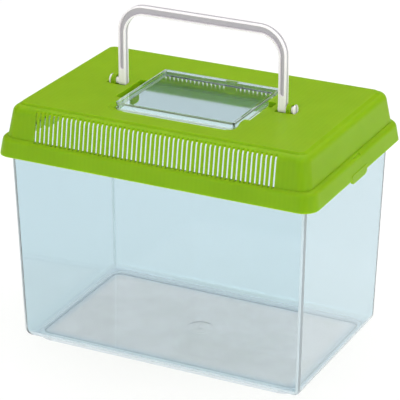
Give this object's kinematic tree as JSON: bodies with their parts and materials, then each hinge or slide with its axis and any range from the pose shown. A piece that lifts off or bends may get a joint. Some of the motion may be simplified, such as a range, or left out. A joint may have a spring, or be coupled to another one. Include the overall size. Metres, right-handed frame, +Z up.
{
  "type": "pet keeper",
  "caption": "Clear plastic pet keeper with a slotted green lift-off lid, a clear hinged access door in the lid and a folding white carry handle.",
  "frame": {"origin": "middle of the footprint, on the plane the tank stands on", "axes": "+X along the length to the right as seen from the front, -Y out of the front, +Z up"},
  "size_m": [0.2346, 0.1572, 0.2349],
  "materials": {
    "tank": "clear moulded polystyrene, faint blue tint, polished",
    "lid": "injection moulded polypropylene, satin",
    "access_door": "clear moulded polystyrene, polished",
    "handle": "injection moulded polypropylene, satin"
  },
  "bodies": {
    "tank": {"tank": "tank"},
    "lid": {"lid": "lid"},
    "access_door": {"access_door": "access_door"},
    "handle": {"handle": "handle"}
  },
  "joints": [
    {"name": "lid_lift", "type": "slide", "parent": "tank", "child": "lid", "axis": [0, 0, 1], "range_m": [0, 0.04]},
    {"name": "door_hinge", "type": "hinge", "parent": "lid", "child": "access_door", "pos_m": [0, 0.033, 0.1756], "axis": [-1, 0, 0], "range_deg": [0, 50]},
    {"name": "handle_hinge", "type": "hinge", "parent": "lid", "child": "handle", "pos_m": [0.0006, 0, 0.1783], "axis": [1, 0, 0], "range_deg": [-69, 69]}
  ]
}
